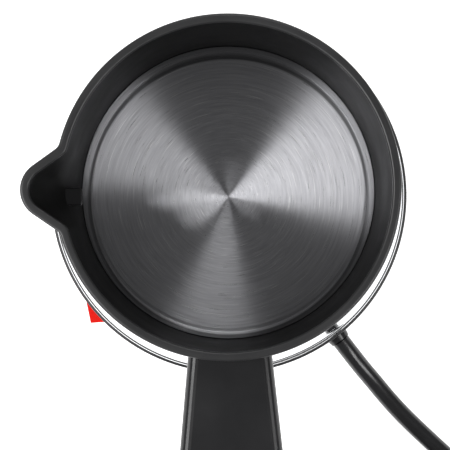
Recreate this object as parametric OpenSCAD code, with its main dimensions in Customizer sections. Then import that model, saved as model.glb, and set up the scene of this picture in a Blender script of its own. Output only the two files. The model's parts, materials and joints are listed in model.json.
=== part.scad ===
// Electric coffee pot on a round power base. Units are millimetres, +Z is up.
// The origin is on the pot's axis, on the surface that the base stands on.
// The spout points to -X and the handle to -Y.

/* [Pot] */
// Outer radius of the rolled lip
rim_r = 53.6; // [53:0.1:53.9]
// Height of the lip's top above the standing surface
rim_z = 112; // [110:1:120]
// Inner radius at the mouth
mouth_r = 50.7; // [50.4:0.1:50.9]
// Inner radius just above the heating plate
floor_r = 49.3; // [49.1:0.1:49.5]
// Height of the heating plate's top
plate_z = 58; // [56:1:60]
// Distance of the spout's tip from the axis
spout_reach = 64; // [62:0.2:66]
// Half width of the spout where it leaves the rim
spout_half = 17.2; // [15:0.2:18]

/* [Chrome ring] */
// Outer radius of the ring's foot
ring_r = 62.2; // [61.5:0.1:62.6]
// Height of the ring's foot
ring_z = 22.4; // [22.2:0.1:23]
// Height of the ring's upper edge
ring_top = 47; // [45:1:49]
// Thickness of the ring's sheet
ring_t = 1; // [0.8:0.1:1.2]
// How far the black rim under the ring stands out past it
rim_out = 1.1; // [0.6:0.1:1.2]

/* [Handle] */
// Width at the pot
handle_root_w = 26.4; // [25:0.2:29]
// Greatest width
handle_w = 35.5; // [33:0.5:37]
// Distance of the far end from the axis
handle_reach = 168; // [150:1:180]
// Height of the top face at the pot
handle_z = 104; // [103:1:105]

/* [Base] */
// Outer radius at the foot
base_r = 60.5; // [60:0.1:60.8]
// Height of the base's top face
base_h = 20; // [20:0.1:20.1]
// Direction of the switch, from +X
switch_angle = 217.2; // [210:0.2:225]
// Direction of the cord's exit, from +X
cord_angle = -53; // [-56:0.2:-50]

/* [Cord] */
// Diameter of the cord
cord_d = 6.4; // [6:0.1:6.6]
// Mean radius of the coil's middle turn
coil_r = 35.2; // [34.8:0.1:35.6]

/* [Hidden] */
$fn = 96;
e = 0.01;

// Pot walls
wall = 2.2;
lip_w = rim_r - mouth_r;
lip_drop = 5;
seal_top = plate_z - 1.6;
seal_h = 1.8;
ledge_top = seal_top - seal_h;
ledge_t = 2;
ledge_bottom = ledge_top - ledge_t;
ledge_r = 40;
stud_ring_r = 42.5;
stud_angles = [90, 210, 330];
stud_r = 1.5;
boss_ring_r = 46.6;
boss_angles = [30, 150, 270];
boss_r = 3.8;
pilot_r = 1.3;
screw_r = 1.28;
cover_z = base_h + 0.4;
cover_t = 2;
post_top = cover_z + 4;

// Plate and heater stack
spreader_r = 38;
spreader_bottom = seal_top - 3;
tube_r = 3.2;
element_r = 27;
element_z = spreader_bottom - tube_r;
element_gap = 60;
cold_z = element_z - 8;
tab_z = cold_z - 8;

// Connector
socket_r = 15;
socket_top = base_h + 6;
slot_floor = base_h - 6;
pin_r = 1.2;
ring_blades = [[7, 7.7], [11.8, 12.5]];
blade_bottom = slot_floor + 1;
plug_in_r = socket_r + 0.6;
plug_out_r = 18.6;
plug_top = base_h + 8.6;
blade_root = plug_top - 1.2;
blade_top = plug_top + 1.4;
tail_angles = [-47, -45.7];

// Base
foot_h = 1.4;
base_floor_t = 1.8;
base_floor_top = foot_h + base_floor_t;
base_wall = 2.2;
base_round = 3.5;
base_boss_ring = 48;
base_boss_angles = [80, 170, 260, 350];
foot_angles = [35, 125, 215, 305];

// Switch, in a frame with X pointing out of the base
pad_x = 60.4;
bezel_t = 1.6;
bezel_w = 23;
bezel_z = [3.4, 17.4];
body_half = 10.4;
hollow_half = 9.75;
body_z = [4.2, 16.5];
hollow_z = [5.4, 15.4];
pivot_x = 58.4;
pivot_r = 1.15;
pivot_bore_r = 1.2;
rocker_tilt = 18;
rocker_z = [5.7, 15.1];
rocker_side = [[6.7, 7.5], [6.75, 7.75], [6.55, 7.96], [1.7, 9.35], [-0.5, 8.6], [-2.5, 4]];

// Cord
cord_r = cord_d / 2;
exit_reach = 66;
exit_z = 8;
exit_point = [exit_reach * cos(cord_angle), exit_reach * sin(cord_angle), exit_z];
lead_route = [
  exit_point, [42.8, -56.8, 7.2], [47.1, -62.4, 5.2], [51.7, -68, 3.8], [56, -73.3, 3.3],
  [60.6, -78.6, 3.2], [65, -83.2, 3.2], [69.6, -87.7, 3.2], [75.7, -93.5, 3.3], [81.6, -99.1, 3.5],
  [87.5, -104.8, 3.7], [93.5, -110.5, 3.8]
];
tail_route = [
  [63.5, -181.6, 10.2], [57.5, -181.8, 9.8], [51.5, -182.6, 8.6], [44.4, -183.8, 6.8], [37.4, -185.1, 5.4],
  [30.4, -186.2, 4.6], [23.4, -187, 4.4], [17.4, -187.3, 5]
];
coil_centre = [71, -143];
coil_lift = 0.6;
coil_chamfer = 1.8;
tie_t = 0.6;
tie_angle = 10;
plug_tilt = 23;
plug_rear = [17.4, -187.3, 5];
plug_turn = 179.2;

// ---- helpers ----

function arc(cx, cy, r, from, to, n) =
  [for (i = [0 : n]) let (a = from + (to - from) * i / n) [cx + r * cos(a), cy + r * sin(a)]];

function box_outline(w, h, r) = concat(
  arc(w / 2 - r, h / 2 - r, r, 0, 90, 6), arc(-w / 2 + r, h / 2 - r, r, 90, 180, 6),
  arc(-w / 2 + r, -h / 2 + r, r, 180, 270, 6), arc(w / 2 - r, -h / 2 + r, r, 270, 360, 6));

function unit(v) = v / norm(v);

function heading(p, i) = unit(p[min(i + 1, len(p) - 1)] - p[max(i - 1, 0)]);

// One ring of a tube at point i, square to the route; up says which way is not along it
function tube_ring(p, i, r, sides, up) =
  let (t = heading(p, i), s = unit(cross(t, up)), u = cross(s, t))
  [for (k = [0 : sides - 1]) p[i] + r * cos(360 * k / sides) * s + r * sin(360 * k / sides) * u];

module tube(p, r, sides = 10, up = [0, 0, 1]) {
  n = len(p);
  points = [for (i = [0 : n - 1]) each tube_ring(p, i, r, sides, up)];
  near = [for (k = [0 : sides - 1]) k];
  far = [for (k = [sides - 1 : -1 : 0]) (n - 1) * sides + k];
  sides_faces = [for (i = [0 : n - 2]) for (k = [0 : sides - 1])
    let (a = i * sides + k, b = i * sides + (k + 1) % sides) [a, a + sides, b + sides, b]];
  polyhedron(points = points, faces = concat([near], [far], sides_faces), convexity = 6);
}

module ring(r_out, r_in, z0, z1) {
  translate([0, 0, z0]) difference() {
    cylinder(r = r_out, h = z1 - z0);
    translate([0, 0, -1]) cylinder(r = r_in, h = z1 - z0 + 2);
  }
}

module at_polar(angles, r) {
  for (a = angles) rotate([0, 0, a]) translate([r, 0, 0]) children();
}

module pan_screw(head_r, head_h, shank_r, length) {
  // Head below z = 0, shank above it
  translate([0, 0, -head_h]) difference() {
    cylinder(r = head_r, h = head_h);
    translate([-head_r * 0.7, -0.3, -1]) cube([head_r * 1.4, 0.6, 1.4]);
    translate([-0.3, -head_r * 0.7, -1]) cube([0.6, head_r * 1.4, 1.4]);
  }
  cylinder(r = shank_r, h = length);
}

// Outer radius of the pot's flared foot at height z
function skirt_r(z) =
  let (t = (ring_top - z) / (ring_top - ring_z))
  rim_r - 0.4 + (ring_r - ring_t - 0.7 - rim_r + 0.4) * pow(max(t, 0), 1.2);

skirt_steps = [for (i = [0 : 8]) ring_z + (ring_top - ring_z) * i / 8];

// ---- pot ----

module spout_block(grow, top) {
  // Beak from a low point on the wall up to a round tip at the rim
  tip_r = 9.2;
  hull() {
    translate([-(spout_reach - tip_r), 0, rim_z - 3.2 - grow]) cylinder(r = tip_r + grow, h = top, $fn = 48);
    for (s = [-1, 1])
      translate([-47.5, s * (spout_half - 4), rim_z - 4.2 - grow]) cylinder(r = 2.6 + grow, h = top + 1, $fn = 24);
    translate([-48.6, 0, rim_z - 34 - grow]) sphere(r = 3 + grow, $fn = 24);
  }
}

module pot_body() {
  top_c = rim_z - lip_w / 2;
  color([0.05, 0.05, 0.055]) {
    difference() {
      union() {
        rotate_extrude() polygon(concat(
          [[floor_r + 0.05, ring_top], [floor_r, plate_z], [mouth_r, top_c]],
          arc(mouth_r + lip_w / 2, top_c, lip_w / 2, 180, 0, 10),
          [[rim_r, rim_z - lip_drop], [mouth_r + wall - 0.3, rim_z - lip_drop - 0.8]],
          [[floor_r + wall + 0.6, ring_top + 6], [skirt_r(ring_top), ring_top]]));
        difference() {
          spout_block(0, 3.2);
          translate([0, 0, rim_z - 60]) cylinder(r = mouth_r + 0.8, h = 80);
        }
        // Level tab on the wall below the spout
        translate([-52.9, -4.3, 82.6]) cube([6, 5.6, 2.4]);
        // Tongue that carries the handle
        translate([-9, -80, 92.6]) cube([18, 28.6, 7]);
      }
      difference() {
        spout_block(-1.6, 12);
        translate([-52.9, -4.4, 82.5]) cube([7, 5.8, 2.6]);
      }
      for (y = [-62, -74]) translate([0, y, 90]) cylinder(r = pilot_r, h = 8.4);
    }
  }
}

// Flared lower housing: its spigot plugs into the wall and its ledge carries the plate
module pot_skirt() {
  spigot_r = floor_r - 0.1;
  top = ring_top - 0.05;
  color([0.06, 0.06, 0.065]) difference() {
    union() {
      rotate_extrude() polygon(concat(
        [[ledge_r, ledge_bottom], [ledge_r, ledge_top], [spigot_r, ledge_top], [spigot_r, top], [skirt_r(ring_top), top]],
        [for (i = [7 : -1 : 0]) [skirt_r(skirt_steps[i]), skirt_steps[i]]],
        [for (i = [0 : 7]) [skirt_r(skirt_steps[i]) - wall, skirt_steps[i]]],
        [[spigot_r - wall, ledge_bottom - 3], [spigot_r - wall - 0.8, ledge_bottom]]));
      intersection() {
        at_polar(boss_angles, boss_ring_r)
          translate([0, 0, post_top + 0.1]) cylinder(r = boss_r, h = ledge_bottom - post_top + 0.2);
        union() {
          cylinder(r = spigot_r - 0.2, h = 80);
          cylinder(r = 60, h = top - 1);
        }
      }
    }
    at_polar(stud_angles, stud_ring_r) translate([0, 0, ledge_bottom - 1]) cylinder(r = stud_r + 0.3, h = 6);
    at_polar(boss_angles, boss_ring_r) translate([0, 0, post_top - 1]) cylinder(r = pilot_r, h = 13);
  }
}

module heating_plate() {
  color([0.7, 0.71, 0.73]) {
    rotate_extrude() polygon([
      [0, seal_top], [0, plate_z], [46, plate_z], [46.3, plate_z - 0.5], [47, plate_z - 0.5],
      [47.4, plate_z + 0.1], [48.6, plate_z + 0.5], [floor_r - 0.15, plate_z + 0.3], [floor_r - 0.15, seal_top]]);
    at_polar(stud_angles, stud_ring_r) translate([0, 0, ledge_bottom - 4]) cylinder(r = stud_r, h = seal_top - ledge_bottom + 4.2);
  }
}

module plate_seal() {
  color([0.75, 0.3, 0.2]) ring(floor_r - 0.2, 46, ledge_top, seal_top);
}

module plate_nuts() {
  color([0.75, 0.75, 0.76]) at_polar(stud_angles, stud_ring_r)
    translate([0, 0, ledge_bottom - 2.4]) difference() {
      cylinder(r = 2.9, h = 2.4, $fn = 6);
      translate([0, 0, -1]) cylinder(r = stud_r, h = 5);
    }
}

module heat_spreader() {
  color([0.8, 0.8, 0.82]) translate([0, 0, spreader_bottom]) cylinder(r = spreader_r, h = seal_top - spreader_bottom);
}

element_turn = 360 - element_gap;
element_start = 270 + element_gap / 2;
element_ends = [element_start, element_start + element_turn];

module heating_element() {
  color([0.45, 0.46, 0.48]) {
    rotate([0, 0, element_start]) rotate_extrude(angle = element_turn)
      translate([element_r, element_z]) circle(r = tube_r, $fn = 48);
    at_polar(element_ends, element_r) {
      translate([0, 0, cold_z]) cylinder(r = 2.2, h = element_z - cold_z);
      translate([0, 0, element_z - 4]) cylinder(r = tube_r + 0.4, h = tube_r + 3.8);
    }
  }
}

module element_terminals() {
  color([0.8, 0.7, 0.4]) at_polar(element_ends, element_r)
    translate([-0.4, -3.15, tab_z]) cube([0.8, 6.3, cold_z - tab_z]);
}

thermostat_z = spreader_bottom - 8;

module thermostat() {
  color([0.85, 0.8, 0.7]) {
    translate([0, 0, thermostat_z]) cylinder(r = 8, h = spreader_bottom - thermostat_z);
    for (x = [-4, 4]) translate([x - 2.4, -15, thermostat_z + 1.6]) cube([4.8, 9, 0.8]);
  }
}

module thermostat_clip() {
  color([0.7, 0.7, 0.72]) {
    translate([-12, -3, thermostat_z - 1]) cube([24, 6, 1]);
    for (s = [-1, 1]) {
      translate([s * 11.5 - 0.5, -3, thermostat_z - 1]) cube([1, 6, spreader_bottom - thermostat_z + 1]);
      translate([s * 14.5 - 3, -3, spreader_bottom - 1]) cube([6, 6, 1]);
    }
  }
}

module thermal_fuse() {
  color([0.9, 0.9, 0.85]) translate([-8, 15, spreader_bottom - 2.4]) rotate([0, 90, 0]) {
    cylinder(r = 2.4, h = 16);
    translate([0, 0, -3]) cylinder(r = 0.5, h = 22);
  }
}

wire_r = 1.1;
ring_mid = [for (b = ring_blades) (b[0] + b[1]) / 2];
terminal_a = element_r * [cos(element_ends[0]), sin(element_ends[0])];
terminal_b = element_r * [cos(element_ends[1]), sin(element_ends[1])];

module pot_wires() {
  low = blade_top + 1.2;
  color([0.75, 0.15, 0.12]) tube([[5, -5.4, low], [5, -7, 33.6], [4.6, -11, 37], [4.2, -15.5, 41], [4, -17.5, 44.5],
    [4, -17.6, thermostat_z + 2]], wire_r, 8, [1, 0, 0]);
  color([0.75, 0.15, 0.12]) tube([[-4, -17.6, thermostat_z + 2], [-4.4, -18.4, 43], [-6, -20, 40],
    [-9, -22.5, 38], [terminal_b[0] + 2.4, terminal_b[1] + 0.6, 37]], wire_r, 8, [1, 0, 0.3]);
  color([0.12, 0.2, 0.6]) tube([[8.4, -8.6, low], [9.4, -11.4, 33.4], [11, -16, 34], [12.4, -20, 33.6],
    [terminal_a[0], terminal_a[1] - 1, 33]], wire_r, 8, [1, 0, 0.2]);
  color([0.3, 0.6, 0.15]) tube([[0, 0.4, low], [-0.8, 3, 33.6], [-2.4, 10, 36], [-3, 20, 40], [-2.6, 30, 44],
    [-1, 37, 46.6], [0, 39.6, 47.6]], wire_r, 8, [1, 0, 0]);
}

module chrome_ring() {
  gap = 0.15;
  color([0.85, 0.86, 0.88]) rotate_extrude() polygon(concat(
    [for (z = skirt_steps) [skirt_r(z) + gap, z]],
    [[skirt_r(ring_top) + gap + 0.5, ring_top + 0.3]],
    [for (i = [8 : -1 : 1]) [skirt_r(skirt_steps[i]) + gap + ring_t, skirt_steps[i] - 0.2]],
    arc(ring_r - 0.8, ring_z + 0.8, 0.8, 45, -90, 6)));
}

module pot_bottom_cover() {
  color([0.06, 0.06, 0.065]) difference() {
    union() {
      // Floor of the pot, with a rounded rim that the chrome ring stands on
      rotate_extrude() polygon(concat([[plug_out_r + 0.6, cover_z]],
        arc(ring_r + rim_out - 0.9, cover_z + 0.9, 0.9, -90, 0, 6), arc(ring_r + rim_out - 0.9, ring_z - 1, 0.9, 0, 90, 6),
        [[plug_out_r + 0.6, ring_z - 0.1]]));
      at_polar(boss_angles, boss_ring_r) translate([0, 0, cover_z]) cylinder(r = 4.6, h = post_top - cover_z);
      ring(24.5, 22.7, cover_z, cover_z + 6);
    }
    at_polar(boss_angles, boss_ring_r) {
      translate([0, 0, cover_z - 1]) cylinder(r = 3, h = 3.2);
      translate([0, 0, cover_z - 1]) cylinder(r = 1.7, h = 8);
    }
  }
}

module pot_bottom_screws() {
  color([0.6, 0.6, 0.62]) at_polar(boss_angles, boss_ring_r)
    translate([0, 0, cover_z + 2.2]) pan_screw(2.7, 1.6, screw_r, 12);
}

// ---- handle ----

handle_seam = handle_z - 6.5;
handle_drop = 14;
handle_rise = 3;

module handle_slice(y, w, rise, shrink) {
  translate([0, y, handle_z - handle_drop / 2 + rise]) rotate([90, 0, 0])
    linear_extrude(height = 0.1) polygon(box_outline(w - 2 * shrink, handle_drop - 2 * shrink, 3.4 - shrink));
}

module handle_solid(shrink) {
  hull() {
    handle_slice(-50, handle_root_w - 0.5, 0, shrink);
    handle_slice(-86, 33, 0.6, shrink);
  }
  hull() {
    handle_slice(-86, 33, 0.6, shrink);
    handle_slice(-112, handle_w, 1.4, shrink);
  }
  hull() {
    handle_slice(-112, handle_w, 1.4, shrink);
    translate([0, -handle_reach + 15, handle_z - handle_drop / 2 + handle_rise])
      for (x = [-1, 1]) translate([x * 1.5, 0, 0]) resize_end(15 - shrink, handle_drop - 2 * shrink);
  }
}

// Round end of the handle, as a rounded disc
module resize_end(r, h) {
  rotate_extrude($fn = 48) polygon(concat([[0, -h / 2]], arc(r - 3, -h / 2 + 3, 3, -90, 0, 6),
    arc(r - 3, h / 2 - 3, 3, 0, 90, 6), [[0, h / 2]]));
}

module handle_part(z0, z1) {
  difference() {
    intersection() {
      handle_solid(0);
      translate([-40, -200, z0]) cube([80, 160, z1 - z0]);
    }
    difference() {
      handle_solid(1.8);
      translate([-40, -55.2, z0 - 1]) cube([80, 10, 40]);
    }
    cylinder(r = rim_r - 0.1, h = 200);
    // Room for the pot's tongue
    translate([-9.2, -80.2, 92.4]) cube([18.4, 40, 7.4]);
  }
}

module handle_upper_shell() {
  color([0.05, 0.05, 0.055]) difference() {
    union() {
      handle_part(handle_seam + 0.15, handle_z + 20);
      translate([0, -132, handle_seam + 0.3]) cylinder(r = 3.4, h = handle_drop / 2 + 0.5);
    }
    translate([0, -132, handle_seam - 2]) cylinder(r = pilot_r, h = 8);
  }
}

module handle_lower_shell() {
  color([0.07, 0.07, 0.075]) difference() {
    union() {
      handle_part(handle_z - 30, handle_seam);
      translate([0, -132, handle_z - handle_drop + 2.2]) cylinder(r = 3.6, h = handle_drop - 8.9);
      for (y = [-62, -74]) translate([0, y, handle_z - handle_drop + 0.6]) cylinder(r = 4, h = 1.8);
    }
    for (y = [-62, -74, -132]) {
      translate([0, y, handle_z - handle_drop - 1]) cylinder(r = 1.7, h = 12);
      translate([0, y, handle_z - handle_drop - 2]) cylinder(r = 2.8, h = 3.4 + (y < -100 ? 2 : 0));
    }
  }
}

module handle_screws() {
  color([0.6, 0.6, 0.62]) {
    for (y = [-62, -74]) translate([0, y, handle_z - handle_drop + 1.4]) pan_screw(2.5, 1.2, screw_r, 7);
    translate([0, -132, handle_z - handle_drop + 3.4]) pan_screw(2.5, 1.2, screw_r, 8);
  }
}

// ---- pot connector ----

module plug_housing() {
  color([0.12, 0.12, 0.13]) difference() {
    union() {
      ring(plug_out_r, plug_in_r, base_h + 0.6, plug_top - 2);
      translate([0, 0, plug_top - 2]) cylinder(r = plug_out_r, h = 2);
      ring(21.4, plug_in_r, cover_z + 2.4, cover_z + 3.8);
    }
    translate([0, 0, plug_top - 4]) cylinder(r = pin_r, h = 8);
    for (b = ring_blades) ring(b[1], b[0], plug_top - 4, blade_root);
    ring_tails();
  }
}

// Tails that carry the ring contacts up through the housing's roof
module ring_tails() {
  for (i = [0, 1]) rotate([0, 0, tail_angles[i]])
    translate([ring_mid[i] - 0.3, -1.5, blade_root - 0.5]) cube([0.6, 3, blade_top - blade_root + 0.5]);
}

module plug_centre_pin() {
  color([0.8, 0.7, 0.4]) translate([0, 0, blade_bottom]) cylinder(r = pin_r, h = blade_top - blade_bottom);
}

module plug_contact_rings() {
  color([0.8, 0.7, 0.4]) {
    for (b = ring_blades) ring(b[1], b[0], blade_bottom, blade_root);
    ring_tails();
  }
}

// ---- power base ----

module base_shell() {
  color([0.05, 0.05, 0.055]) difference() {
    union() {
      rotate_extrude() polygon(concat(
        [[0, foot_h], [base_r, foot_h], [base_r - 0.6, base_h - base_round - 1]],
        arc(base_r - 0.7 - base_round, base_h - base_round, base_round, 0, 90, 8), [[0, base_h]]));
      rotate([0, 0, switch_angle]) translate([46, -12.5, foot_h]) cube([pad_x - 46, 25, base_h - foot_h - 1]);
    }
    difference() {
      translate([0, 0, -1]) rotate_extrude() polygon(concat(
        [[0, 0], [base_r - base_wall, 0], [base_r - base_wall - 0.6, base_h - base_wall - 1]],
        [[base_r - base_wall - 3, base_h - base_wall + 1], [0, base_h - base_wall + 1]]));
      at_polar(base_boss_angles, base_boss_ring) translate([0, 0, base_floor_top + 0.1]) cylinder(r = 4, h = 20);
      rotate([0, 0, switch_angle]) translate([base_r - 7, -14, foot_h]) cube([20, 28, 30]);
    }
    // Room behind the switch's flat, and the flat itself
    rotate([0, 0, switch_angle]) {
      translate([40, -10.9, -1]) cube([pad_x - 2 - 40, 21.8, base_h - base_wall + 1]);
      translate([pad_x, -15, -1]) cube([10, 30, base_h + 4]);
      translate([50, -body_half - 0.1, body_z[0] - 0.1]) cube([20, 2 * body_half + 0.2, body_z[1] - body_z[0] + 0.2]);
    }
    at_polar(base_boss_angles, base_boss_ring) translate([0, 0, 0]) cylinder(r = pilot_r, h = 14);
    translate([0, 0, base_h - 8]) cylinder(r = socket_r + 0.2, h = 20);
    rotate([0, 0, cord_angle]) translate([50, 0, exit_z]) rotate([0, 90, 0]) cylinder(r = 4.05, h = 20);
  }
}

module base_bottom_cover() {
  color([0.06, 0.06, 0.065]) difference() {
    union() {
      translate([0, 0, foot_h]) cylinder(r = base_r - base_wall - 0.3, h = base_floor_t);
      // Posts under the cord clamp
      rotate([0, 0, cord_angle]) for (s = [-1, 1]) translate([40, s * 8, base_floor_top - 0.1]) cylinder(r = 2.6, h = 4.9);
    }
    at_polar(base_boss_angles, base_boss_ring) translate([0, 0, -1]) cylinder(r = 1.7, h = 10);
    rotate([0, 0, cord_angle]) for (s = [-1, 1]) translate([40, s * 8, base_floor_top + 0.4]) cylinder(r = 1, h = 10);
    // Clearance for the pads beside the switch
    rotate([0, 0, switch_angle]) for (y = [-14.2, 10.7]) translate([53.3, y, 0]) cube([10, 3.5, 10]);
    for (x = [-21 : 6 : 21]) translate([x, -10, 0]) cube([2, 20, 10]);
  }
}

module base_screws() {
  color([0.6, 0.6, 0.62]) at_polar(base_boss_angles, base_boss_ring)
    translate([0, 0, foot_h]) pan_screw(2.7, 1, screw_r, 11);
}

module rubber_feet() {
  color([0.1, 0.1, 0.1]) at_polar(foot_angles, 49) cylinder(r = 5, h = foot_h);
}

contact_spots = [[1.65, 2.25, 180], [5.95, 6.5, 60], [10.75, 11.3, 300]];

module base_socket() {
  color([0.1, 0.1, 0.11]) difference() {
    union() {
      translate([0, 0, 5.2]) cylinder(r = socket_r, h = socket_top - 5.2);
      ring(19, socket_r - 1, base_h - base_wall - 2, base_h - base_wall - 0.05);
    }
    translate([0, 0, slot_floor]) cylinder(r = 2.4, h = 20);
    ring(8.2, 5.8, slot_floor, 40);
    ring(13, 10.6, slot_floor, 40);
    for (c = contact_spots) rotate([0, 0, c[2]]) translate([c[0] - 0.02, -1.52, 0]) cube([c[1] - c[0] + 0.04, 3.04, 22.2]);
  }
}

module socket_contacts() {
  color([0.8, 0.7, 0.4]) for (c = contact_spots) rotate([0, 0, c[2]])
    translate([c[0], -1.5, 3.8]) cube([c[1] - c[0], 3, 18.2]);
}

module switch_housing() {
  color([0.05, 0.05, 0.055]) rotate([0, 0, switch_angle]) difference() {
    union() {
      translate([pad_x, -bezel_w / 2, bezel_z[0]]) cube([bezel_t, bezel_w, bezel_z[1] - bezel_z[0]]);
      translate([47, -body_half, body_z[0]]) cube([pad_x - 47 + e, 2 * body_half, body_z[1] - body_z[0]]);
    }
    translate([49, -hollow_half, hollow_z[0]]) cube([20, 2 * hollow_half, hollow_z[1] - hollow_z[0]]);
    translate([pad_x - 0.4, -9.95, hollow_z[0]]) cube([20, 19.9, hollow_z[1] - hollow_z[0]]);
    translate([pivot_x, 0, 0]) cylinder(r = pivot_bore_r, h = 30);
  }
}

module switch_rocker() {
  color([0.85, 0.08, 0.05]) rotate([0, 0, switch_angle]) translate([pivot_x, 0, 0]) rotate([0, 0, -rocker_tilt]) {
    translate([0, 0, rocker_z[0]]) linear_extrude(height = rocker_z[1] - rocker_z[0])
      polygon(concat([[5.6, 0]], rocker_side, [for (i = [len(rocker_side) - 1 : -1 : 0]) [rocker_side[i][0], -rocker_side[i][1]]]));
    translate([0, 0, rocker_z[0] - 1.2]) cylinder(r = pivot_r, h = rocker_z[1] - rocker_z[0] + 2.4);
  }
}

module switch_lamp() {
  color([1, 0.5, 0.3]) rotate([0, 0, switch_angle]) translate([51.6, 0, 7.4]) {
    cylinder(r = 1.7, h = 6);
    translate([0, 0, 6]) sphere(r = 1.7, $fn = 32);
  }
}

module switch_terminals() {
  color([0.8, 0.7, 0.4]) rotate([0, 0, switch_angle])
    for (y = [-6, 0, 6]) translate([40.5, y - 0.4, 7.2]) cube([6.5, 0.8, 6]);
}

module base_wires() {
  c = cos(switch_angle);
  s = sin(switch_angle);
  color([0.4, 0.25, 0.15]) tube([[18.1, -25.8, 7.6], [10, -31, 6.4], [-4, -34.4, 6], [-16, -34, 6.4], [-23, -31.6, 8],
    [39.4 * c - 6 * s, 39.4 * s + 6 * c, 9.6]], wire_r, 8);
  color([0.4, 0.25, 0.15]) tube([[39.2 * c, 39.2 * s, 10], [-26, -16, 8], [-20.5, -11.5, 5.2], [-16, -7.4, 4.25],
    [-10, -3.4, 4.25], [-6, -1, 4.25], [-3.4, 0, 4.25]], 0.8, 8);
  color([0.12, 0.2, 0.6]) tube([[20.4, -25, 9.4], [17.4, -20, 7.4], [13, -13, 4.6], [11, -9.6, 4.3], [7.4, -9.4, 4.3]], 0.8, 8);
  color([0.3, 0.6, 0.15]) tube([[21.6, -24, 7], [21, -15, 5], [17, -2, 4.3], [10, 6, 4.3], [5.6, 6.6, 4.3]], 0.8, 8);
}

module on_cord_line() {
  rotate([0, 0, cord_angle]) translate([0, 0, exit_z]) rotate([0, 90, 0]) children();
}

module inner_cord() {
  color([0.06, 0.06, 0.06]) on_cord_line() translate([0, 0, 33]) cylinder(r = cord_r, h = 11);
}

module cord_clamp() {
  color([0.85, 0.85, 0.82]) rotate([0, 0, cord_angle]) difference() {
    translate([37, -10.6, exit_z + 0.1]) cube([6, 21.2, 5.2]);
    translate([30, 0, exit_z]) rotate([0, 90, 0]) cylinder(r = cord_r, h = 20);
    for (t = [-1, 1]) translate([40, t * 8, 0]) cylinder(r = 1.6, h = 30);
  }
}

module clamp_screws() {
  color([0.6, 0.6, 0.62]) rotate([0, 0, cord_angle]) for (t = [-1, 1])
    translate([40, t * 8, exit_z + 5.3]) mirror([0, 0, 1]) pan_screw(2.4, 1.4, 0.98, 9);
}

module strain_relief() {
  color([0.06, 0.06, 0.06]) on_cord_line() rotate_extrude() polygon([
    [0, 44], [4.2, 44], [4.2, 55], [4.7, 55.4], [4.7, 57.4], [4, 57.6], [4, 60.9], [5.4, 61], [5.2, 62.4],
    [4.2, 62.8], [3.6, exit_reach], [0, exit_reach]]);
}

// ---- cord outside ----

module cord() {
  color([0.06, 0.06, 0.06]) tube(lead_route, cord_r, 12);
}

// Section of the wound turns, two wide and two high, with its corners taken off
function coil_outline(grow) =
  let (r0 = coil_r - cord_d - grow, r1 = coil_r + cord_d + grow,
       z0 = coil_lift - grow, z1 = coil_lift + 2 * cord_d + grow, c = coil_chamfer)
  [[r0 + c, z0], [r1 - c, z0], [r1, z0 + c], [r1, z1 - c], [r1 - c, z1], [r0 + c, z1], [r0, z1 - c], [r0, z0 + c]];

module cord_coil() {
  color([0.06, 0.06, 0.06]) translate(coil_centre) rotate_extrude() polygon(coil_outline(0));
}

module cord_tail() {
  color([0.06, 0.06, 0.06]) tube(tail_route, cord_r, 12);
}

module cord_tie() {
  color([0.12, 0.12, 0.12]) translate(coil_centre) rotate([0, 0, 180 - tie_angle / 2]) difference() {
    rotate_extrude(angle = tie_angle) polygon(coil_outline(tie_t));
    rotate([0, 0, -1]) rotate_extrude(angle = tie_angle + 2) polygon(coil_outline(0));
  }
}

module in_plug() {
  translate(plug_rear) rotate([0, 0, plug_turn]) rotate([0, 90 - plug_tilt, 0]) children();
}

module mains_plug() {
  color([0.06, 0.06, 0.06]) in_plug() rotate_extrude() polygon([
    [0, 0], [4, 0], [5, 12], [7, 18], [12, 23], [17, 29], [18.5, 33], [18.5, 45], [17.5, 46], [0, 46]]);
}

module plug_contacts() {
  color([0.8, 0.8, 0.82]) in_plug() {
    for (s = [-1, 1]) translate([0, s * 9.5, 46]) {
      cylinder(r = 2.4, h = 17);
      translate([0, 0, 17]) sphere(r = 2.4, $fn = 32);
    }
  }
}

pot_body();
pot_skirt();
heating_plate();
plate_seal();
plate_nuts();
heat_spreader();
heating_element();
element_terminals();
thermostat();
thermostat_clip();
thermal_fuse();
pot_wires();
chrome_ring();
pot_bottom_cover();
pot_bottom_screws();
handle_upper_shell();
handle_lower_shell();
handle_screws();
plug_housing();
plug_centre_pin();
plug_contact_rings();
base_shell();
base_bottom_cover();
base_screws();
rubber_feet();
base_socket();
socket_contacts();
switch_housing();
switch_rocker();
switch_lamp();
switch_terminals();
base_wires();
inner_cord();
cord_clamp();
clamp_screws();
strain_relief();
cord();
cord_coil();
cord_tail();
cord_tie();
mains_plug();
plug_contacts();
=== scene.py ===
"""Looks of the electric coffee pot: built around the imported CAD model, in metres."""
import json
import math

import bpy
from mathutils import Matrix, Vector


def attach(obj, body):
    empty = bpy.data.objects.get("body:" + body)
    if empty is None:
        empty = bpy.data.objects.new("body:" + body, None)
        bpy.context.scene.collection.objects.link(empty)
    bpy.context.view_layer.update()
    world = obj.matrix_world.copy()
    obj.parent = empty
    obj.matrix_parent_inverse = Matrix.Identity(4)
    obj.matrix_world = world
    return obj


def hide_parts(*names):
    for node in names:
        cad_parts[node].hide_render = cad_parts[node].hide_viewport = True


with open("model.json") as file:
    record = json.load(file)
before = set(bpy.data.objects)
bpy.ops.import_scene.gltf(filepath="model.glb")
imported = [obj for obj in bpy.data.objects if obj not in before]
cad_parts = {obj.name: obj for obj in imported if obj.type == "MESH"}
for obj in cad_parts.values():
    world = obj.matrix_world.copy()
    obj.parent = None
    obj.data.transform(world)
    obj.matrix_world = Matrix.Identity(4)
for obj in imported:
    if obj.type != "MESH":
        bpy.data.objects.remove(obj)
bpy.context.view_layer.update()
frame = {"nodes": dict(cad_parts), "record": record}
nodes = frame["nodes"]
MM = 0.001

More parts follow.
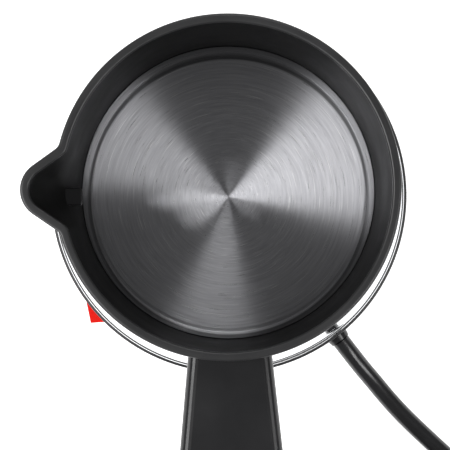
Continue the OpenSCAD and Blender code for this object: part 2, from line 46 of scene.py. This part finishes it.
# ---------------------------------------------------------------- sizes, in mm
# Rim and mouth
RIM_R = 53.6
RIM_Z = 112.0
MOUTH_R = 50.7
LIP_ROUND = 0.9
LIP_DROP = 3.6
# Wall, from the plate up
FLOOR_R = 49.3
PLATE_Z = 58.0
WALL = 2.2
# Chrome ring
RING_R = 62.2
RING_Z = 22.4
RING_TOP = 47.0
RING_T = 1.0
RING_GAP = 0.15
BEAD_R = 0.9
# Beak: how far its tip stands out of the rim, its round tip, its flanks' angle and its depth
SPOUT_OUT = 10.4
BEAK_TIP_R = 9.2
BEAK_FLANK = 35.0
BEAK_SOFT = 1.0
BEAK_SPREAD = 30.0
SPOUT_DEPTH = 36.0
# Level tab on the wall under the beak
TAB_X = (-52.9, -46.9)
TAB_Y = -1.5
TAB_HALF = 2.8
TAB_Z = (82.6, 85.0)
TAB_CUT = 0.6
# Plate: thickness, flat disc, groove and ledge
PLATE_T = 1.6
DISC_R = 45.6
GROOVE_R = 46.9
LEDGE_R = 49.15
BRUSH_CENTRE = (0.0, -1.5)
# Cord
CORD_D = 6.4


# ---------------------------------------------------------------- camera
def make_camera():
    """A long lens almost straight above the pot, turned 0.8 degrees."""
    data = bpy.data.cameras.new("camera")
    data.sensor_width = 36
    data.lens = 148.2
    data.clip_start = 0.01
    data.clip_end = 20
    camera = bpy.data.objects.new("camera", data)
    bpy.context.scene.collection.objects.link(camera)
    place = Vector((0.00274, -0.01874, 0.681))
    target = Vector((-0.00093, -0.01166, 0.112))
    back = (place - target).normalized()
    right = Vector((0.01396, 0.9999, 0)).cross(back).normalized()
    up = back.cross(right)
    camera.location = place
    camera.rotation_mode = "QUATERNION"
    turn = Matrix((right, up, back)).transposed()
    camera.rotation_quaternion = turn.to_quaternion()
    bpy.context.scene.camera = camera


make_camera()


# ---------------------------------------------------------------- shader helpers
class Nodes:
    """A material's node tree with short ways to add and join nodes."""

    def __init__(self, name):
        self.material = bpy.data.materials.new(name)
        self.material.use_nodes = True
        self.tree = self.material.node_tree
        self.shader = self.tree.nodes["Principled BSDF"]
        self.coords = None

    def add(self, kind, **values):
        made = self.tree.nodes.new("ShaderNode" + kind)
        for key, value in values.items():
            if hasattr(made, key):
                setattr(made, key, value)
            else:
                made.inputs[key].default_value = value
        return made

    def join(self, source, output, target, socket):
        self.tree.links.new(source.outputs[output], target.inputs[socket])

    def feed(self, output, socket):
        """Joins an output to a socket of the shader."""
        self.tree.links.new(output, self.shader.inputs[socket])

    def set(self, **values):
        """Sets sockets of the shader, with underscores for the spaces in their names."""
        for key, value in values.items():
            self.shader.inputs[key.replace("_", " ")].default_value = value

    def position(self):
        """The node that gives places on the object, made on first use."""
        if self.coords is None:
            self.coords = self.add("TexCoord")
        return self.coords

    def noise(self, scale, detail=3.0, rough=0.5, coords=None):
        made = self.add("TexNoise")
        made.inputs["Scale"].default_value = scale
        made.inputs["Detail"].default_value = detail
        made.inputs["Roughness"].default_value = rough
        if coords is None:
            self.join(self.position(), "Object", made, "Vector")
        else:
            self.tree.links.new(coords, made.inputs["Vector"])
        return made

    def spread(self, source, low, high, from_low=0.3, from_high=0.7):
        """Stretches a noise from the range it mostly keeps to onto low to high."""
        made = self.add("MapRange")
        made.inputs["From Min"].default_value = from_low
        made.inputs["From Max"].default_value = from_high
        made.inputs["To Min"].default_value = low
        made.inputs["To Max"].default_value = high
        self.tree.links.new(source, made.inputs["Value"])
        return made.outputs["Result"]

    def blend(self, factor, one, two):
        """A colour between two, by the factor."""
        made = self.add("Mix", data_type="RGBA")
        made.inputs[6].default_value = (*one, 1)
        made.inputs[7].default_value = (*two, 1)
        self.tree.links.new(factor, made.inputs[0])
        return made.outputs[2]

    def bump(self, height, distance, strength=1.0):
        made = self.add("Bump")
        made.inputs["Distance"].default_value = distance
        made.inputs["Strength"].default_value = strength
        self.tree.links.new(height, made.inputs["Height"])
        self.feed(made.outputs["Normal"], "Normal")


def moulded(name, one, two, rough=(0.2, 0.32), grain=900, relief=0.00002, specular=0.5):
    """Moulded plastic or rubber: two close tones, uneven gloss and a fine grain."""
    n = Nodes(name)
    tone = n.noise(60, 4)
    gloss = n.noise(35, 5, 0.6)
    skin = n.noise(grain, 2)
    n.feed(n.blend(n.spread(tone.outputs["Fac"], 0, 1), one, two), "Base Color")
    n.feed(n.spread(gloss.outputs["Fac"], *rough), "Roughness")
    n.bump(skin.outputs["Fac"], relief, 0.5)
    n.shader.inputs["Specular IOR Level"].default_value = specular
    return n.material


def metal(name, one, two, rough=(0.2, 0.35), grain=300, relief=0.00001):
    """Plain metal with uneven tone and polish."""
    n = Nodes(name)
    tone = n.noise(120, 4)
    polish = n.noise(grain, 4, 0.6)
    n.shader.inputs["Metallic"].default_value = 1
    n.feed(n.blend(n.spread(tone.outputs["Fac"], 0, 1), one, two), "Base Color")
    n.feed(n.spread(polish.outputs["Fac"], *rough), "Roughness")
    n.bump(polish.outputs["Fac"], relief, 0.4)
    return n.material


# The colour ramp runs over the first tenth of a metre
RAMP_PER_METRE = 10


def radial_place(n):
    """Distance from the brushing centre, and the unit direction away from it."""
    offset = n.add("VectorMath", operation="SUBTRACT")
    offset.inputs[1].default_value = (BRUSH_CENTRE[0] * MM, BRUSH_CENTRE[1] * MM, 0)
    n.join(n.position(), "Object", offset, 0)
    flat = n.add("VectorMath", operation="MULTIPLY")
    flat.inputs[1].default_value = (1, 1, 0)
    n.join(offset, "Vector", flat, 0)
    length = n.add("VectorMath", operation="LENGTH")
    n.join(flat, "Vector", length, 0)
    unit = n.add("VectorMath", operation="NORMALIZE")
    n.join(flat, "Vector", unit, 0)
    return length, unit


def ring_noise(n, length, split, lines_per_metre, detail):
    """Noise that changes fast along the radius and slowly round the circle."""
    scaled = n.add("Math", operation="MULTIPLY")
    scaled.inputs[1].default_value = lines_per_metre
    n.join(length, "Value", scaled, 0)
    place = n.add("CombineXYZ")
    n.join(split, "X", place, "X")
    n.join(split, "Y", place, "Y")
    n.join(scaled, "Value", place, "Z")
    return n.noise(1.0, detail, 0.65, place.outputs["Vector"]).outputs["Fac"]


def with_scratches(n, tone, scratch):
    """A few brighter scratches, each a short arc."""
    marked = n.add("Mix", data_type="RGBA")
    marked.inputs[7].default_value = (1, 1, 1, 1)
    n.tree.links.new(n.spread(scratch, 0, 0.8, 0.66, 0.74), marked.inputs[0])
    n.tree.links.new(tone, marked.inputs[6])
    return marked.outputs[2]


def with_painted_groove_shade(n, tone, length):
    """Painted shade in the groove round the disc, and painted shade that darkens the ledge outside it."""
    tenth = n.add("Math", operation="MULTIPLY")
    tenth.inputs[1].default_value = RAMP_PER_METRE
    n.join(length, "Value", tenth, 0)
    groove = n.add("ValToRGB")
    n.join(tenth, "Value", groove, "Fac")
    ramp = groove.color_ramp
    first, last = ramp.elements
    # The darker stops are painted shade: 0.3 across the groove and 0.55 over the ledge.
    for element, radius, shade in ((first, 46.05, 1.0), (last, 47.55, 0.55)):
        element.position = radius * MM * RAMP_PER_METRE
        element.color = (shade, shade, shade, 1)
    for radius in (46.3, 47.2):
        added = ramp.elements.new(radius * MM * RAMP_PER_METRE)
        added.color = (0.3, 0.3, 0.3, 1)
    shaded = n.add("Mix", data_type="RGBA", blend_type="MULTIPLY")
    shaded.inputs[0].default_value = 1
    n.tree.links.new(tone, shaded.inputs[6])
    n.tree.links.new(groove.outputs["Color"], shaded.inputs[7])
    return shaded.outputs[2]


def brushed_plate():
    """Stainless steel turned on a lathe: fine rings about the brushing centre."""
    n = Nodes("turned_steel")
    n.set(Metallic=1, Anisotropic=1.0)
    length, unit = radial_place(n)
    n.join(unit, "Vector", n.shader, "Tangent")
    slow = n.add("VectorMath", operation="SCALE")
    slow.inputs["Scale"].default_value = 2.6
    n.join(unit, "Vector", slow, 0)
    split = n.add("SeparateXYZ")
    n.join(slow, "Vector", split, 0)
    fine = ring_noise(n, length, split, 4200, 2)
    broad = ring_noise(n, length, split, 1900, 3)
    scratch = ring_noise(n, length, split, 5200, 1)
    tone = n.blend(n.spread(broad, 0, 1), (0.52, 0.52, 0.55), (0.68, 0.68, 0.71))
    tone = with_scratches(n, tone, scratch)
    # The base colour carries the painted shade of the groove and the ledge.
    n.feed(with_painted_groove_shade(n, tone, length), "Base Color")
    n.feed(n.spread(fine, 0.27, 0.4), "Roughness")
    n.bump(fine, 0.00001, 0.4)
    return n.material


def translucent_red():
    """Clear red plastic with a little light behind it."""
    n = Nodes("switch_red")
    n.set(Base_Color=(0.72, 0.012, 0.008, 1), IOR=1.5)
    n.shader.inputs["Transmission Weight"].default_value = 0.35
    n.shader.inputs["Emission Color"].default_value = (1.0, 0.03, 0.012, 1)
    n.shader.inputs["Emission Strength"].default_value = 0.22
    tone = n.noise(250, 2)
    n.feed(n.spread(tone.outputs["Fac"], 0.12, 0.24), "Roughness")
    n.bump(tone.outputs["Fac"], 0.00002, 0.3)
    return n.material


BLACK = moulded(
    "gloss_black", (0.013, 0.013, 0.014), (0.018, 0.018, 0.019), (0.26, 0.36), 1400, 0.000012, 0.35,
)
# The lip's lighter tone is a painted sheen: it stands in for the softboxes' reflection on the rounded lip.
LIP_PAINTED_SHEEN = moulded(
    "lip_painted_sheen", (0.024, 0.024, 0.025), (0.034, 0.034, 0.035), (0.28, 0.38), 1400, 0.000012, 0.42,
)
SATIN = moulded(
    "satin_black", (0.008, 0.008, 0.008), (0.011, 0.011, 0.011), (0.5, 0.65), 1400, 0.000015, 0.06,
)
BASE_BLACK = moulded(
    "base_black", (0.018, 0.018, 0.02), (0.028, 0.028, 0.03), (0.3, 0.42), 1500, 0.00003,
)
CONNECTOR = moulded(
    "connector_grey", (0.05, 0.05, 0.055), (0.08, 0.08, 0.085), (0.5, 0.65), 1500, 0.00003,
)
PLATE = brushed_plate()
CHROME = metal("polished_chrome", (0.80, 0.81, 0.83), (0.86, 0.87, 0.88), (0.04, 0.09), 60, 0.00022)
ZINC = metal("zinc", (0.55, 0.56, 0.57), (0.68, 0.68, 0.67), (0.3, 0.45), 800)
ALUMINIUM = metal("aluminium", (0.7, 0.71, 0.73), (0.78, 0.79, 0.8), (0.28, 0.42), 500)
SHEATH = metal("heater_sheath", (0.16, 0.15, 0.15), (0.32, 0.29, 0.27), (0.4, 0.55), 400, 0.00003)
BRASS = metal("brass", (0.68, 0.48, 0.2), (0.8, 0.6, 0.3), (0.2, 0.34), 600)
NICKEL = metal("nickel", (0.66, 0.64, 0.6), (0.74, 0.73, 0.7), (0.14, 0.24), 300)
SILICONE = moulded("silicone", (0.42, 0.08, 0.045), (0.5, 0.11, 0.06), (0.5, 0.65), 900, 0.00004)
SLEEVE = moulded("glass_sleeve", (0.7, 0.67, 0.58), (0.82, 0.79, 0.72), (0.7, 0.85), 2500, 0.0001)
WIRE = moulded("wire_insulation", (0.3, 0.1, 0.05), (0.4, 0.15, 0.08), (0.35, 0.5), 900, 0.00003)
RUBBER = moulded("foot_rubber", (0.02, 0.02, 0.02), (0.035, 0.035, 0.035), (0.65, 0.85), 2000, 0.00008)
PVC = moulded("cord_pvc", (0.018, 0.018, 0.019), (0.026, 0.026, 0.028), (0.2, 0.28), 1200, 0.00003, 0.5)
TIE = moulded("tie_plastic", (0.03, 0.03, 0.03), (0.05, 0.05, 0.05), (0.4, 0.55), 900, 0.00003)
CLAMP = moulded("clamp_plastic", (0.66, 0.65, 0.6), (0.76, 0.75, 0.7), (0.4, 0.55), 700, 0.00003)
GLASS = moulded("lamp_glass", (0.8, 0.35, 0.2), (0.9, 0.45, 0.25), (0.1, 0.2), 300, 0.00001)
RED = translucent_red()

SLOT_LOOK = {
    "black_gloss": BLACK, "black_plastic": BASE_BLACK, "connector_plastic": CONNECTOR,
    "plate_steel": PLATE, "silicone": SILICONE, "zinc_steel": ZINC, "spreader_aluminium": ALUMINIUM,
    "heater_sheath": SHEATH, "contact_brass": BRASS, "fuse_sleeve": SLEEVE, "wire_insulation": WIRE,
    "chrome_trim": CHROME, "foot_rubber": RUBBER, "switch_red": RED, "lamp_glass": GLASS,
    "cord_pvc": PVC, "tie_plastic": TIE, "clamp_plastic": CLAMP, "plug_pvc": PVC, "plug_nickel": NICKEL,
}


def dress_cad_nodes():
    """Gives every CAD node the look of its slot."""
    for part in frame["record"]["subparts"]:
        for holder in nodes[part["node"]].material_slots:
            holder.material = SLOT_LOOK[part["material_slot"]]


# ---------------------------------------------------------------- mesh helpers
def mesh_piece(name, points, faces, look, body, smooth=True):
    mesh = bpy.data.meshes.new(name)
    mesh.from_pydata([tuple(c * MM for c in p) for p in points], [], faces)
    mesh.validate()
    mesh.update()
    for polygon in mesh.polygons:
        polygon.use_smooth = smooth
    made = bpy.data.objects.new(name, mesh)
    bpy.context.scene.collection.objects.link(made)
    mesh.materials.append(look)
    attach(made, body)
    return made


def closed_grid(rows, columns):
    """Faces of a grid that closes on itself both ways; point (i, j) is number i * columns + j."""
    faces = []
    for i in range(rows):
        for j in range(columns):
            a, b = i * columns + j, i * columns + (j + 1) % columns
            c, d = ((i + 1) % rows) * columns + (j + 1) % columns, ((i + 1) % rows) * columns + j
            faces.append((a, b, c, d))
    return faces


def revolved(name, profile, look, body, steps=256, sharp=30):
    """A closed profile of (r, z) points turned about the pot's axis."""
    points = []
    for i in range(steps):
        a = 2 * math.pi * i / steps
        points += [(r * math.cos(a), r * math.sin(a), z) for r, z in profile]
    made = mesh_piece(name, points, closed_grid(steps, len(profile)), look, body)
    keep_edges(made, sharp)
    return made


def rounded(piece, width, segments=3):
    """Rounds every edge of a piece by a width in mm."""
    bevel = piece.modifiers.new("round", "BEVEL")
    bevel.width = width * MM
    bevel.segments = segments
    bevel.limit_method = "ANGLE"
    bevel.angle_limit = math.radians(35)


def keep_edges(piece, angle):
    """Smooth shading that keeps edges sharper than the angle."""
    mesh = piece.data
    mesh.set_sharp_from_angle(angle=math.radians(angle))


# ---------------------------------------------------------------- cord
CORD_ANGLE = math.radians(-53)
EXIT_R = 66
EXIT = (EXIT_R * math.cos(CORD_ANGLE), EXIT_R * math.sin(CORD_ANGLE), 8.0)
# Free stretch from the base to the coil, and from the coil to the plug
LEAD = [
    EXIT, (42.8, -56.8, 7.2), (47.1, -62.4, 5.2), (51.7, -68, 3.8), (56, -73.3, 3.3),
    (60.6, -78.6, 3.2), (65, -83.2, 3.2), (69.6, -87.7, 3.2), (75.7, -93.5, 3.3), (81.6, -99.1, 3.5),
    (87.5, -104.8, 3.7), (93.5, -110.5, 3.8),
]
TAIL = [
    (63.5, -181.6, 10.2), (57.5, -181.8, 9.8), (51.5, -182.6, 8.6), (44.4, -183.8, 6.8),
    (37.4, -185.1, 5.4), (30.4, -186.2, 4.6), (23.4, -187, 4.4), (17.4, -187.3, 5),
]
COIL_CENTRE = (71, -143)
COIL_START = 45.2
COIL_TURN = 1216
COIL_STEPS = 100
COIL_OUT = 38.4
COIL_IN = 32.0
COIL_LOW = 3.8
COIL_HIGH = 10.2


def eased(value, start, end):
    """0 before the start and 1 after the end, with a smooth change between them."""
    t = min(1.0, max(0.0, (value - start) / (end - start)))
    return t * t * (3 - 2 * t)


def coil_turns():
    """Two turns side by side on the table and the rest on top of them, one cord width apart."""
    made = []
    for i in range(1, COIL_STEPS + 1):
        turned = COIL_TURN * i / COIL_STEPS
        inward = eased(turned, 300, 355) - eased(turned, 950, 1000)
        r = COIL_OUT - (COIL_OUT - COIL_IN) * inward
        z = COIL_LOW + (COIL_HIGH - COIL_LOW) * eased(turned, 600, 690)
        a = math.radians(COIL_START - turned)
        made.append((COIL_CENTRE[0] + r * math.cos(a), COIL_CENTRE[1] + r * math.sin(a), z))
    return made


def make_cord():
    """One curve from the base to the plug, through the tied coil."""
    route = LEAD + coil_turns() + TAIL
    curve = bpy.data.curves.new("cord_line", "CURVE")
    curve.dimensions = "3D"
    spline = curve.splines.new("BEZIER")
    spline.bezier_points.add(len(route) - 1)
    for point, place in zip(spline.bezier_points, route, strict=True):
        point.co = [c * MM for c in place]
        point.handle_left_type = "AUTO"
        point.handle_right_type = "AUTO"
    spline.resolution_u = 6
    curve.bevel_depth = CORD_D / 2 * MM
    curve.bevel_resolution = 8
    curve.use_fill_caps = True
    cord = bpy.data.objects.new("mains_cord", curve)
    bpy.context.scene.collection.objects.link(cord)
    curve.materials.append(PVC)
    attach(cord, "base")
    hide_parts("cord", "cord_coil", "cord_tail")


make_cord()
dress_cad_nodes()


# ---------------------------------------------------------------- pot body
def beak_r(angle, inset=0.0):
    """Radius of the rim's outline at an angle from +X, moved inwards by the inset.

    The beak is two straight flanks that meet in a round tip, softly joined to the round rim.
    """
    off = math.radians(abs(angle % 360 - 180))
    round_r = RIM_R - inset
    if off > math.radians(BEAK_SPREAD):
        return round_r
    tip_r = BEAK_TIP_R - inset
    lean = math.radians(90 - BEAK_FLANK)
    centre = RIM_R + SPOUT_OUT - BEAK_TIP_R
    if off < math.atan2(tip_r * math.sin(lean), centre + tip_r * math.cos(lean)):
        beak = centre * math.cos(off) + math.sqrt(tip_r ** 2 - (centre * math.sin(off)) ** 2)
    else:
        beak = (centre * math.cos(lean) + tip_r) / math.cos(off - lean)
    apart = abs(beak - round_r)
    soft = max(BEAK_SOFT - apart, 0) ** 2 / (4 * BEAK_SOFT)
    return max(beak, round_r) + soft


def spout_reach(z):
    """How much of the beak is left at height z: all at the rim, none low on the wall."""
    down = min(1.0, max(0.0, (RIM_Z - 3 - z) / SPOUT_DEPTH))
    return (1 - down) ** 1.35


def skirt_r(z):
    """Radius of the flared skirt under the chrome ring."""
    t = max(0.0, (RING_TOP - z) / (RING_TOP - RING_Z))
    return RIM_R - 0.4 + (RING_R - RING_T - 0.7 - RIM_R + 0.4) * t ** 1.2


def inner_r(z):
    """Radius inside the pot, which opens a little towards the mouth."""
    t = (z - PLATE_Z) / (RIM_Z - PLATE_Z)
    return FLOOR_R + (MOUTH_R - FLOOR_R) * max(0.0, min(1.0, t))


# Heights at which the wall is drawn, up the inside and down the outside
INNER_HEIGHTS = (47, 52, 57, 60, 64, 69, 74, 79, 84, 88, 92, 95, 98, 101, 103.5, 105.5, 107.5, 109, 110)
OUTER_HEIGHTS = (106, 104, 101.5, 99, 96, 92, 88, 84, 79, 74, 69, 62, 55, 51)
ROUND_STEPS = 6
LIP_POINTS = 2 * ROUND_STEPS + 3


def lip_points(inner, outer):
    """The lip's rounded top from its inner to its outer side."""
    low = RIM_Z - LIP_ROUND
    turns = [math.pi / 2 * step / ROUND_STEPS for step in range(ROUND_STEPS + 1)]
    corner = [(LIP_ROUND * (1 - math.cos(a)), low + LIP_ROUND * math.sin(a)) for a in turns]
    points = [(inner + across, z) for across, z in corner]
    points.append(((inner + outer) / 2, RIM_Z))
    points += [(outer - across, z) for across, z in reversed(corner)]
    return points


def pot_section(angle):
    """Closed (r, z) section of the wall at one angle: up the inside, over the lip and down the outside."""
    beak_in = beak_r(angle, RIM_R - MOUTH_R) - MOUTH_R
    beak_out = beak_r(angle) - RIM_R
    section = [(inner_r(z) + beak_in * spout_reach(z), z) for z in INNER_HEIGHTS]
    outer = RIM_R + beak_out
    section += lip_points(MOUTH_R + beak_in, outer)
    drop = RIM_Z - LIP_DROP
    under_lip = ((0, 0), (0.12, 1.0), (0.45, 1.5), (1.0, 1.7))
    section += [(outer - back, drop - down) for back, down in under_lip]
    for z in OUTER_HEIGHTS:
        t = max(0, (z - 53) / (RIM_Z - 53))
        wall_r = FLOOR_R + WALL + 0.6 + (MOUTH_R - FLOOR_R - 1.1) * t
        section.append((wall_r + beak_out * (1 - 0.2 / SPOUT_OUT) * spout_reach(z), z))
    section.append((skirt_r(RING_TOP), RING_TOP))
    return section


def section_angles():
    """Angles in degrees, closer together round the beak."""
    angles = [0.0]
    while angles[-1] < 360:
        angles.append(angles[-1] + (0.5 if abs(angles[-1] - 180) < 22 else 1.5))
    return [a for a in angles if a < 360]


def make_pot_body():
    """The wall with its lip and beak: polished outside, lighter at the lip as a painted sheen, and satin
    inside.
    """
    angles = section_angles()
    points = []
    for angle in angles:
        c, s = math.cos(math.radians(angle)), math.sin(math.radians(angle))
        points += [(r * c, r * s, z) for r, z in pot_section(angle)]
    count = len(pot_section(0))
    made = mesh_piece("pot_shell", points, closed_grid(len(angles), count), BLACK, "pot")
    made.data.materials.append(SATIN)
    made.data.materials.append(LIP_PAINTED_SHEEN)
    for number, face in enumerate(made.data.polygons):
        if number % count < len(INNER_HEIGHTS):
            face.material_index = 1
        elif number % count < len(INNER_HEIGHTS) + LIP_POINTS:
            # The lip's faces take the lighter look, a painted sheen.
            face.material_index = 2
    keep_edges(made, 50)
    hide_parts("pot_body")


def make_level_tab():
    """The small tab that marks the level, with its inner corners cut."""
    (x0, x1), half, cut = TAB_X, TAB_HALF, TAB_CUT
    ring = [(x0, -half), (x1 - cut, -half), (x1, -half + cut)]
    ring += [(x, -y) for x, y in reversed(ring)]
    points = [(x, y + TAB_Y, z) for z in TAB_Z for x, y in ring]
    count = len(ring)
    faces = [tuple(reversed(range(count))), tuple(range(count, 2 * count))]
    faces += [(i, (i + 1) % count, count + (i + 1) % count, count + i) for i in range(count)]
    tab = mesh_piece("level_tab", points, faces, BLACK, "pot", smooth=False)
    rounded(tab, 0.45)


make_pot_body()
make_level_tab()


# ---------------------------------------------------------------- plate and ring
def make_plate():
    """A flat disc with a shallow groove and a ledge round it."""
    top = PLATE_Z
    profile = [(0.02, top - PLATE_T), (0.02, top)]
    profile += [(r, top) for r in (6, 12, 18, 24, 30, 36, 42, DISC_R)]
    profile += [(DISC_R + 0.35, top - 0.02), (DISC_R + 0.65, top - 0.12), (GROOVE_R, top - 0.12)]
    profile += [(GROOVE_R + 0.1, top - 0.02), (GROOVE_R + 0.2, top)]
    profile += [(LEDGE_R - 0.2, top - 0.02), (LEDGE_R, top - 0.12), (LEDGE_R, top - PLATE_T)]
    made = revolved("turned_plate", profile, PLATE, "pot", 360, 25)
    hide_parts("heating_plate")


def make_ring():
    """The chrome skirt, with a turned-in top edge and a bead at its foot."""
    heights = [RING_Z + (RING_TOP - RING_Z) * i / 24 for i in range(25)]
    profile = [(skirt_r(z) + RING_GAP, z) for z in heights]
    top_r = skirt_r(RING_TOP) + RING_GAP
    profile += [(top_r + 0.25, RING_TOP + 0.3), (top_r + 0.7, RING_TOP + 0.2)]
    profile += [(skirt_r(z) + RING_GAP + RING_T, z - 0.2) for z in reversed(heights[3:])]
    for step in range(11):
        a = math.radians(70 - 160 * step / 10)
        profile.append((RING_R - BEAD_R + BEAD_R * math.cos(a), RING_Z + BEAD_R + BEAD_R * math.sin(a)))
    made = revolved("chrome_skirt", profile, CHROME, "pot", 360, 60)
    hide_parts("chrome_ring")


make_plate()
make_ring()


# ---------------------------------------------------------------- stage and light
LIGHT_DISTANCE = 1.1


def make_stage():
    """A white floor with light of its own, so that it stays plain."""
    mesh = bpy.data.meshes.new("floor")
    reach, under = 3.0, -0.0003
    corners = [(x * reach, y * reach, under) for x, y in ((-1, -1), (1, -1), (1, 1), (-1, 1))]
    mesh.from_pydata(corners, [], [(0, 1, 2, 3)])
    floor = bpy.data.objects.new("floor", mesh)
    bpy.context.scene.collection.objects.link(floor)
    look = Nodes("floor_white")
    look.set(Base_Color=(0.93, 0.93, 0.93, 1), Roughness=0.6)
    look.set(Emission_Color=(1, 1, 1, 1), Emission_Strength=0.9)
    mesh.materials.append(look.material)


def area_light(name, azimuth, elevation, size, power):
    """A softbox that faces the pot, at a bearing from +X and a height in degrees."""
    aim = Vector((0, 0, 0.07))
    data = bpy.data.lights.new(name, "AREA")
    data.shape = "RECTANGLE"
    data.size, data.size_y = size
    data.energy = power
    light = bpy.data.objects.new(name, data)
    a, e = math.radians(azimuth), math.radians(elevation)
    way = Vector((math.cos(e) * math.cos(a), math.cos(e) * math.sin(a), math.sin(e)))
    light.location = aim + LIGHT_DISTANCE * way
    light.rotation_euler = way.to_track_quat("Z", "Y").to_euler()
    bpy.context.scene.collection.objects.link(light)


def make_light():
    """Three soft lights that make the bright fans on the turned plate, and a dim room."""
    world = bpy.data.worlds.new("studio")
    world.use_nodes = True
    world.node_tree.nodes["Background"].inputs["Color"].default_value = (1, 1, 1, 1)
    world.node_tree.nodes["Background"].inputs["Strength"].default_value = 0.13
    bpy.context.scene.world = world
    area_light("softbox_left", 197.5, 50.5, (0.80, 0.34), 10.0)
    area_light("softbox_right", 332.5, 47, (0.62, 0.30), 4.6)
    area_light("softbox_back", 82.5, 46, (0.45, 0.30), 1.9)


make_stage()
make_light()
bpy.context.scene.view_settings.view_transform = "Standard"
